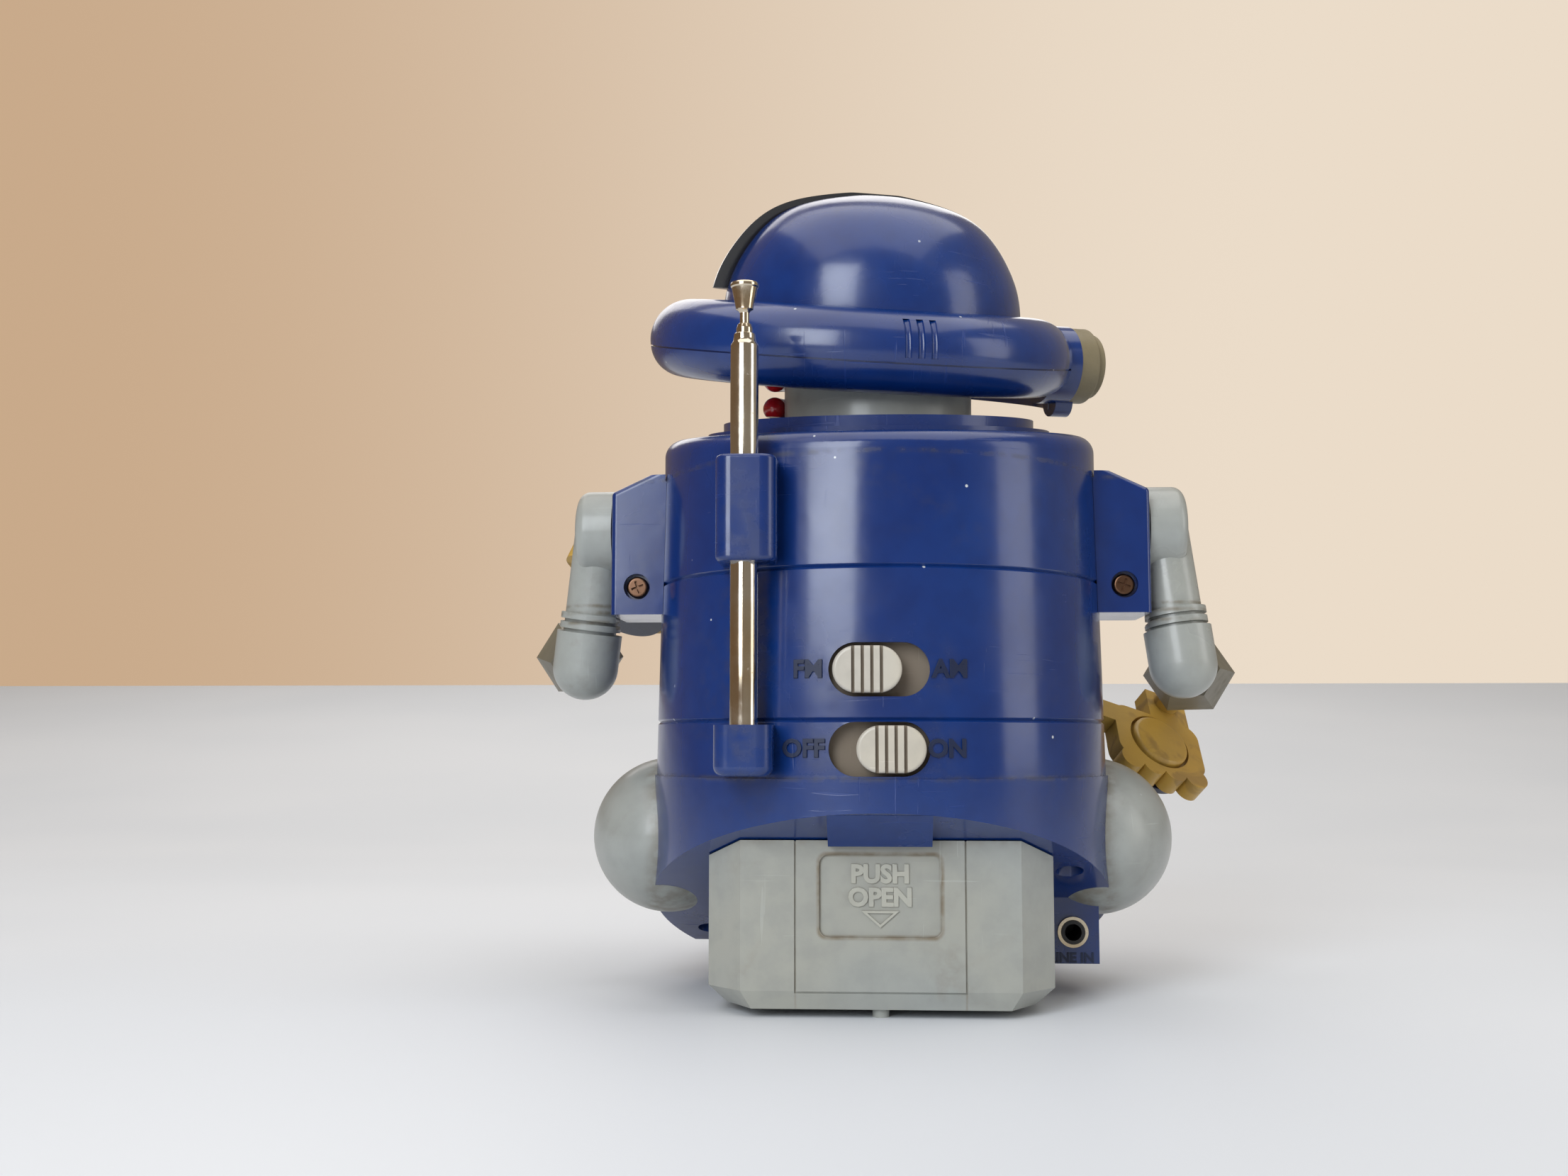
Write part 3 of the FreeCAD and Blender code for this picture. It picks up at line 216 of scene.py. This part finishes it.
def metal(name, color, stain, roughness=(0.1, 0.3), stained=0.3, brushed=(1, 1, 0.03), spots=0.3,
          spot_color=(0.16, 0.08, 0.035)):
    """Plated metal with a warm stain, fine brushing and dull rust spots."""
    material, tree, shader, place = start_material(name)
    tone = place.noise(45.0, 3.0).step(0.4, 0.68) * stained
    body = tone.mix(rgba(color), rgba(stain))
    lines = place.noise(2600.0, 2.0, brushed)
    pits = place.noise(620.0, 3.0).step(0.64, 0.72) * place.noise(60.0, 2.0).step(0.42, 0.62) * spots
    body = pits.mix((lines.step(0.3, 0.8) * 0.25).mix(body, rgba(color, 0.7)), rgba(spot_color))
    low, high = roughness
    rough = low + (high - low) * place.noise(120.0, 4.0).step(0.3, 0.75) + pits * 0.4
    bump = place.node("ShaderNodeBump", {"Height": lines * 0.4 - pits * 0.8, "Distance": METAL_RELIEF,
                                         "Strength": 0.35})
    finish_material(tree, shader, {"Base Color": body, "Roughness": rough, "Metallic": 1.0 - pits * 0.9,
                                   "Normal": bump}, {"IOR": METAL_IOR})
    return material


def from_axis(x, y):
    """How far a place is from the middle line of the body."""
    across, along = x - axis_x, y - axis_y
    return (across * across + along * along).root()


def housing_dirt(x, y, z, place):
    """Grey-brown dirt along the body's seams, down the antenna and round the switch slots."""
    break_up = place.noise(330.0, 4.0).step(0.34, 0.68)
    seams = z.near(seam_base, 0.9 * MM) + z.near(seam_top, 0.9 * MM)
    behind = y.step(axis_y, axis_y + 30 * MM)
    antenna_side = x.near(antenna.x, 8.5 * MM) * z.near(antenna.z - 20 * MM, 48 * MM) * behind
    slots = abs(x - slot_x).step(19 * MM, 12 * MM) * behind
    slots = slots * (z.near(band_knob.z, 8.5 * MM) + z.near(power_knob.z, 8.5 * MM))
    low_edge = z.step(seam_base - 26 * MM, seam_base - 37 * MM)
    return (seams * 0.5 + antenna_side * 0.42 + slots * 0.24 + low_edge * 0.2) * break_up


def cover_dirt(x, y, z, place):
    """Brown gathered in the pad's edge and the two long grooves of the battery cover."""
    break_up = place.noise(260.0, 4.0).step(0.36, 0.66)
    half_x, half_z, middle_z, corner = 12.3 * MM, 8.25 * MM, cover_low.z + 24.05 * MM, 1.6 * MM
    sideways = abs(x - axis_x)
    past_x = (sideways - (half_x - corner)).at_least(0.0)
    past_z = (abs(z - middle_z) - (half_z - corner)).at_least(0.0)
    outline = (past_x * past_x + past_z * past_z).root().near(corner, 0.75 * MM)
    rear = y.step(cover_high.y - 3 * MM, cover_high.y - 1.2 * MM)
    grooves = sideways.near(17 * MM, 0.35 * MM) * 0.45
    top = z.step(cover_high.z - 1.6 * MM, cover_high.z) * 0.25
    return (outline * 0.8 + grooves) * rear * (0.45 + break_up * 0.55) + top * break_up


def knob_slot_shade(knob_high_y):
    def marks(x, y, z, place):
        # Painted shade: the parts of the knob that lie deeper in the slot turn brown.
        return y.step(knob_high_y - 0.35 * MM, knob_high_y - 0.8 * MM) * 0.8
    return marks


def hand_dirt(x, y, z, place):
    return place.noise(120.0, 3.0, warp=1.0).step(0.5, 0.66) * 0.5


def limb_dirt(x, y, z, place):
    """Brown where the hips meet the body and in the rings above the elbows."""
    hips = from_axis(x, y).step(53.5 * MM, 49.5 * MM) * z.step(60 * MM, 50 * MM)
    rings = (z.near(arm_rings, 0.8 * MM) + z.near(arm_rings - 2.2 * MM, 0.8 * MM)
             + z.near(arm_rings + 1.6 * MM, 0.7 * MM)) * 0.7
    return (hips * 0.5 + rings) * place.noise(240.0, 4.0).step(0.32, 0.66)


NAVY, NAVY_AGED = (0.0012, 0.022, 0.138), (0.002, 0.030, 0.168)
SAGE, SAGE_AGED = (0.325, 0.345, 0.33), (0.35, 0.355, 0.315)
BROWN = (0.115, 0.075, 0.038)
finishes = {
    "navy_gloss": plastic("navy gloss", NAVY, NAVY_AGED, (0.16, 0.30), grime=0.16, specks=0.10,
                          scratches=0.7, coat=0.35, dirt=(0.045, 0.045, 0.05), marks=housing_dirt),
    "boot_blue": plastic("navy boots", NAVY, NAVY_AGED, (0.2, 0.34), grime=0.3, specks=0.08, scratches=0.8,
                         coat=0.3, dirt=(0.06, 0.055, 0.05)),
    "sage_grey": plastic("sage grey", SAGE, SAGE_AGED, (0.27, 0.4), grime=0.3, specks=0.012, scratches=0.4,
                         coat=0.15, dirt=(0.13, 0.10, 0.055), marks=limb_dirt),
    # The brown dirt colour here also paints the shade deep in the switch slots.
    "off_white": plastic("off-white knobs", (0.50, 0.475, 0.42), (0.53, 0.49, 0.40), (0.28, 0.4), grime=0.2,
                         coat=0.2, dirt=BROWN, marks=knob_slot_shade(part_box("band_switch_knob")[1].y)),
    "dial_silver": plastic("dial silver", (0.44, 0.43, 0.40), (0.5, 0.47, 0.4), (0.3, 0.42), grime=0.25,
                           coat=0.2),
    "ochre": plastic("mustard hands", (0.52, 0.33, 0.065), (0.44, 0.26, 0.045), (0.3, 0.45), grime=0.3,
                     scratches=0.4, coat=0.15, dirt=(0.17, 0.095, 0.03), marks=hand_dirt),
    "record_navy": plastic("record disc", (0.006, 0.010, 0.034), (0.009, 0.014, 0.045), (0.18, 0.3),
                           grime=0.15, specks=0.05),
    "lip_red": plastic("lip red", (0.58, 0.012, 0.018), (0.48, 0.01, 0.014), (0.18, 0.28), grime=0.15,
                       scratches=0.4, coat=0.4),
    "visor_black": plastic("visor black", (0.004, 0.004, 0.006), (0.007, 0.007, 0.009), (0.1, 0.2),
                           grime=0.1, specks=0.04, coat=0.5),
    "lamp_amber": plastic("lamp amber", (0.52, 0.13, 0.0), (0.42, 0.095, 0.0), (0.16, 0.24), grime=0.1,
                          scratches=0.3, coat=0.0),
    "khaki": plastic("khaki cap", (0.175, 0.148, 0.085), (0.215, 0.175, 0.095), (0.42, 0.6), grime=0.55,
                     specks=0.02, coat=0.0, grain=0.25, dirt=(0.09, 0.062, 0.03)),
    "microphone_black": plastic("microphone black", (0.02, 0.02, 0.022), (0.03, 0.03, 0.03), (0.6, 0.8),
                                grime=0.3, grain=0.9, coat=0.0),
    "battery_case_black": plastic("case black", (0.018, 0.018, 0.02), (0.028, 0.028, 0.03), (0.4, 0.55),
                                  grime=0.3, grain=0.3, coat=0.0),
    "battery_wrap": plastic("cell sleeve", (0.05, 0.055, 0.06), (0.06, 0.06, 0.062), (0.2, 0.3), grime=0.2),
    "jack_black": plastic("jack black", (0.01, 0.01, 0.011), (0.016, 0.016, 0.016), (0.4, 0.55), grime=0.3,
                          coat=0.0),
    "board_green": plastic("board green", (0.03, 0.13, 0.055), (0.04, 0.16, 0.06), (0.3, 0.45), grime=0.3),
    "mechanism_white": plastic("white nylon", (0.62, 0.6, 0.54), (0.66, 0.62, 0.5), (0.35, 0.5), grime=0.3),
    "nickel": metal("nickel plate", (0.72, 0.68, 0.60), (0.62, 0.47, 0.27), (0.07, 0.22), stained=0.75),
    "jack_nickel": metal("jack ring plate", (0.62, 0.55, 0.42), (0.45, 0.33, 0.18), (0.22, 0.4),
                         stained=0.8, brushed=(1, 1, 1), spots=0.6),
    "copper_screw": metal("browned screw", (0.17, 0.095, 0.06), (0.085, 0.045, 0.025), (0.3, 0.5),
                          stained=0.8, brushed=(1, 1, 1), spots=0.9),
    "grille_silver": metal("grille silver", (0.52, 0.52, 0.50), (0.45, 0.42, 0.36), (0.3, 0.45),
                           stained=0.4, brushed=(1, 1, 1)),
    "contact_steel": metal("contact steel", (0.6, 0.6, 0.58), (0.5, 0.45, 0.36), (0.2, 0.35), stained=0.4,
                           brushed=(1, 1, 1)),
    "speaker_black": metal("speaker frame", (0.08, 0.08, 0.085), (0.1, 0.09, 0.08), (0.4, 0.5), stained=0.4,
                           brushed=(1, 1, 1), spots=0.2),
    "motor_steel": metal("motor can", (0.55, 0.55, 0.55), (0.48, 0.43, 0.36), (0.2, 0.35), stained=0.4,
                         brushed=(1, 0.1, 1), spots=0.2),
}
cover_finish = plastic("sage grey cover", SAGE, SAGE_AGED, (0.32, 0.44), grime=0.22, specks=0.012, coat=0.1,
                       dirt=(0.165, 0.12, 0.065), marks=cover_dirt)

cuff_finish = plastic("cuff grey", (0.135, 0.122, 0.088), (0.17, 0.15, 0.10), (0.4, 0.55), grime=0.5,
                      scratches=0.4, coat=0.05, dirt=(0.08, 0.06, 0.035))
own_finishes = {"battery_cover": cover_finish, "left_cuff": cuff_finish, "right_cuff": cuff_finish}

node_slots = {entry["node"]: entry["material_slot"] for entry in frame["record"]["subparts"]}
for name, thing in nodes.items():
    thing.data.materials.clear()
    thing.data.materials.append(own_finishes.get(name, finishes[node_slots[name]]))


# ---- new pieces ------------------------------------------------------------------------------------
def add_piece(name, mesh, body, finish):
    thing = bpy.data.objects.new(name, mesh)
    bpy.context.scene.collection.objects.link(thing)
    mesh.materials.clear()
    mesh.materials.append(finish)
    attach(thing, body)
    return thing


def only_verts(geometry):
    return [part for part in geometry if isinstance(part, bmesh.types.BMVert)]


def letters(words, size, thick, bold):
    """Raised lettering as a mesh lying in XY, centred, standing out to both sides of z = 0."""
    curve = bpy.data.curves.new("letters", "FONT")
    curve.body, curve.size, curve.extrude, curve.offset = words, size, thick / 2, bold
    curve.align_x, curve.align_y = "CENTER", "CENTER"
    curve.bevel_depth, curve.resolution_u = thick * 0.25, 3
    holder = bpy.data.objects.new("letters", curve)
    bpy.context.scene.collection.objects.link(holder)
    bpy.context.view_layer.update()
    mesh = bpy.data.meshes.new_from_object(holder.evaluated_get(bpy.context.evaluated_depsgraph_get()))
    bpy.data.objects.remove(holder)
    bpy.data.curves.remove(curve)
    return mesh


def read_from_behind(mesh, centre, radius=None):
    """Stands lettering up on the back of the robot, bent round the body if it has a radius."""
    for vertex in mesh.vertices:
        across, up, out = vertex.co
        x = centre.x - across
        y = centre.y + out
        if radius:
            y = axis_y + math.sqrt(radius ** 2 - (x - axis_x) ** 2) + out
        vertex.co = (x, y, centre.z + up)
    return mesh


def round_feet_shade(radius):
    """Painted shade on the sides of letters that stand on a round wall."""
    def marks(x, y, z, place):
        return from_axis(x, y).step(radius + 0.27 * MM, radius + 0.17 * MM)
    return marks


def letter_finish(name, marks):
    # Where marks are given, the nearly black dirt colour also paints shade on the letters' sides.
    return plastic(name, (0.0015, 0.008, 0.038), (0.003, 0.013, 0.055), (0.34, 0.5), grime=0.45,
                   scratches=0.4, coat=0.05, dirt=(0.003, 0.003, 0.005), marks=marks)


BAND_R, POWER_R = 49.27 * MM, 49.62 * MM
SWITCH_WORDS = (("FM", 14.0, band_knob.z, BAND_R), ("AM", -13.9, band_knob.z, BAND_R),
                ("OFF", 14.9, power_knob.z, POWER_R), ("ON", -13.2, power_knob.z, POWER_R))
for word, offset, height, radius in SWITCH_WORDS:
    mesh = letters(word, 4.8 * MM, 0.36 * MM, 0.09 * MM)
    read_from_behind(mesh, Vector((axis_x + offset * MM, 0, height)), radius)
    add_piece("word_" + word.lower(), mesh, "torso",
              letter_finish("letters " + word, round_feet_shade(radius)))

pad_y = cover_high.y - 0.7 * MM


def letter_feet_grime_and_shade(x, y, z, place):
    # Brown grime and painted shade on the sides of the raised letters, near the pad.
    return y.step(pad_y + 0.34 * MM, pad_y + 0.2 * MM) * 0.85


# Painted highlight: the raised letters and arrow are a lighter copy of the sage cover colour; their brown
# dirt colour also paints shade on their sides.
lit_lettering_finish = plastic("lit sage lettering", (0.40, 0.42, 0.395), (0.43, 0.43, 0.37), (0.3, 0.4), grime=0.2,
                        scratches=0.3, coat=0.1, dirt=(0.12, 0.085, 0.045), marks=letter_feet_grime_and_shade)
for word, height in (("PUSH", 28.2), ("OPEN", 23.6)):
    mesh = letters(word, 4.9 * MM, 0.5 * MM, 0.13 * MM)
    read_from_behind(mesh, Vector((axis_x, pad_y, height * MM)))
    add_piece("word_" + word.lower(), mesh, "battery_lid", lit_lettering_finish)

ARROW_CORNERS = ((-3.8, 21.1), (3.8, 21.1), (0, 17.8))
ARROW_LINE, ARROW_RISE = 0.45 * MM, 0.4 * MM
arrow = bmesh.new()
face = arrow.faces.new([arrow.verts.new((axis_x + x * MM, pad_y, z * MM)) for x, z in ARROW_CORNERS])
face.normal_update()
bmesh.ops.inset_region(arrow, faces=[face], thickness=ARROW_LINE, use_boundary=True, use_even_offset=True)
bmesh.ops.delete(arrow, geom=[face], context="FACES_ONLY")
raised = bmesh.ops.extrude_face_region(arrow, geom=arrow.faces[:])["geom"]
bmesh.ops.translate(arrow, vec=(0, ARROW_RISE, 0), verts=only_verts(raised))
bmesh.ops.recalc_face_normals(arrow, faces=arrow.faces)
arrow_mesh = bpy.data.meshes.new("arrow")
arrow.to_mesh(arrow_mesh)
arrow.free()
add_piece("push_arrow", arrow_mesh, "battery_lid", lit_lettering_finish)

mesh = letters("LINE IN", 2.9 * MM, 0.2 * MM, 0.05 * MM)
read_from_behind(mesh, Vector((jack.x + 0.3 * MM, jack.y - 0.35 * MM, jack.z - 5.6 * MM)))
add_piece("word_line_in", mesh, "torso", letter_finish("letters line in", None))


LATHE_STEPS, MERGE, SHARP = 72, 0.001 * MM, math.radians(28)


def smooth_lathe(name, node, outline, body, slot):
    """A round piece of plated metal spun about the middle of the plain node that it stands for."""
    centre = middle(node)
    shape = bmesh.new()
    line = [shape.verts.new((centre.x + radius * MM, centre.y, height * MM)) for radius, height in outline]
    edges = [shape.edges.new(pair) for pair in zip(line, line[1:])]
    bmesh.ops.spin(shape, geom=line + edges, cent=(centre.x, centre.y, 0), axis=(0, 0, 1), angle=math.tau,
                   steps=LATHE_STEPS, use_merge=True)
    bmesh.ops.remove_doubles(shape, verts=shape.verts, dist=MERGE)
    bmesh.ops.recalc_face_normals(shape, faces=shape.faces)
    for face in shape.faces:
        face.smooth = True
    for edge in shape.edges:
        edge.smooth = len(edge.link_faces) < 2 or edge.calc_face_angle() < SHARP
    mesh = bpy.data.meshes.new(name)
    shape.to_mesh(mesh)
    shape.free()
    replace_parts(add_piece(name, mesh, body, finishes[slot]), node)


tube_low, tube_high = (corner.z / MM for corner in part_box("antenna_tube"))
smooth_lathe("antenna_outer_tube", "antenna_tube", (
    (0, tube_low), (2.8, tube_low), (2.8, tube_high - 2.6), (2.72, tube_high - 2.25), (2.42,
                                                                                       tube_high - 1.75),
    (2.3, tube_high - 1.5), (2.2, tube_high - 0.9), (2.12, tube_high - 0.15), (1.98, tube_high), (1.74,
                                                                                                  tube_high),
    (1.74, tube_high - 12), (0, tube_high - 12)), "torso", "nickel")
mid_low, mid_high = (corner.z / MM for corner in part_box("antenna_middle"))
smooth_lathe("antenna_middle_tube", "antenna_middle", (
    (0, mid_low), (1.65, mid_low), (1.65, mid_high - 1.0), (1.58, mid_high - 0.75), (1.36, mid_high - 0.1),
    (1.25, mid_high), (1.04, mid_high), (1.04, mid_high - 8), (0, mid_high - 8)), "antenna_mid", "nickel")
tip_low, tip_high = (corner.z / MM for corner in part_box("antenna_rod"))
smooth_lathe("antenna_tip_rod", "antenna_rod", (
    (0, tip_low), (0.95, tip_low), (0.95, tip_high - 6.2), (1.25, tip_high - 5.75), (1.75, tip_high - 5.45),
    (1.78, tip_high - 5.1), (2.6, tip_high - 1.15), (2.82, tip_high - 0.9), (2.85, tip_high - 0.4),
    (2.7, tip_high - 0.1), (2.4, tip_high), (0, tip_high)), "antenna_tip", "nickel")


# ---- floor, lights and camera ----------------------------------------------------------------------
FLOOR_PALE, FLOOR_PALER = (0.70, 0.74, 0.79), (0.74, 0.775, 0.82)


def sweep_floor():
    """A pale floor whose far edge lifts a little in front of the robot."""
    floor = bmesh.new()
    behind, start, far, rise, steps, half_width = 1.3, 0.35, 1.25, 0.1115, 24, 5.0
    profile = [(behind, 0.0)]
    for step in range(steps + 1):
        share = step / steps
        profile.append((-start - (far - start) * share, rise * (1 - math.cos(math.pi / 2 * share))))
    line = [floor.verts.new((-half_width, y, z)) for y, z in profile]
    edges = [floor.edges.new(pair) for pair in zip(line, line[1:])]
    swept = bmesh.ops.extrude_edge_only(floor, edges=edges)["geom"]
    bmesh.ops.translate(floor, vec=(2 * half_width, 0, 0), verts=only_verts(swept))
    bmesh.ops.recalc_face_normals(floor, faces=floor.faces)
    if floor.faces[:][0].normal.z < 0:
        bmesh.ops.reverse_faces(floor, faces=floor.faces)
    for face in floor.faces:
        face.smooth = True
    mesh = bpy.data.meshes.new("floor")
    floor.to_mesh(mesh)
    floor.free()
    thing = bpy.data.objects.new("floor", mesh)
    bpy.context.scene.collection.objects.link(thing)
    material, tree, shader, place = start_material("pale floor")
    tone = place.noise(3.0, 2.0).step(0.3, 0.7).mix(rgba(FLOOR_PALE), rgba(FLOOR_PALER))
    finish_material(tree, shader, {"Base Color": tone}, {"Roughness": 0.55})
    mesh.materials.append(material)


def softbox(name, place, aim, size, power, color):
    light = bpy.data.lights.new(name, "AREA")
    light.shape, light.size, light.size_y = "RECTANGLE", *size
    light.energy, light.color = power, color
    lamp = bpy.data.objects.new(name, light)
    lamp.location = place
    lamp.rotation_mode = "QUATERNION"
    lamp.rotation_quaternion = (Vector(aim) - Vector(place)).to_track_quat("-Z", "Y")
    bpy.context.scene.collection.objects.link(lamp)


sweep_floor()
WARM, COOL = (1.0, 0.985, 0.97), (0.90, 0.95, 1.0)
softbox("window", (0.42, 1.0, 0.55), (0, 0, 0.09), (0.5, 0.8), 9.5, COOL)
softbox("side", (-1.1, 0.35, 0.45), (0, 0, 0.09), (0.45, 0.8), 2.4, WARM)
softbox("overhead", (0.0, 0.1, 1.9), (0, 0, 0.1), (2.6, 2.4), 29.0, WARM)
softbox("front", (0.2, -1.2, 0.9), (0, 0, 0.1), (1.0, 0.7), 3.6, WARM)

CREAM_WALL, SHADED_WALL = (0.83, 0.715, 0.585), (0.58, 0.40, 0.255)
ROOM_LIGHT, WALL_BOOST = 0.33, 0.67
world = bpy.data.worlds.new("room")
world.use_nodes = True
room = world.node_tree.nodes["Background"]
sight = Shade(world.node_tree).node("ShaderNodeLightPath", {})
strength = ROOM_LIGHT + sight * WALL_BOOST
world.node_tree.links.new(strength.socket, room.inputs["Strength"])
heading = Shade(world.node_tree).node("ShaderNodeTexCoord", {}).split()[0]
wall = heading.step(-0.25, 0.5).mix(rgba(CREAM_WALL), rgba(SHADED_WALL))
world.node_tree.links.new(wall.socket, room.inputs["Color"])
bpy.context.scene.world = world

EYE_BACK, EYE_HEIGHT = 0.3655, 0.0547
PITCH, YAW = math.radians(5.4), math.radians(3.35)
SENSOR, LENS = 36.0, 37.27
bpy.context.scene.view_settings.view_transform = "Standard"
camera = bpy.data.cameras.new("camera")
camera.sensor_width, camera.lens = SENSOR, LENS
camera.clip_start, camera.clip_end = 0.01, 20.0
eye = bpy.data.objects.new("camera", camera)
eye.location = (axis_x, axis_y + EYE_BACK, EYE_HEIGHT)
forward = Vector((math.sin(YAW) * math.cos(PITCH), -math.cos(YAW) * math.cos(PITCH), math.sin(PITCH)))
eye.rotation_mode = "QUATERNION"
eye.rotation_quaternion = forward.to_track_quat("-Z", "Y")
bpy.context.scene.collection.objects.link(eye)
bpy.context.scene.camera = eye
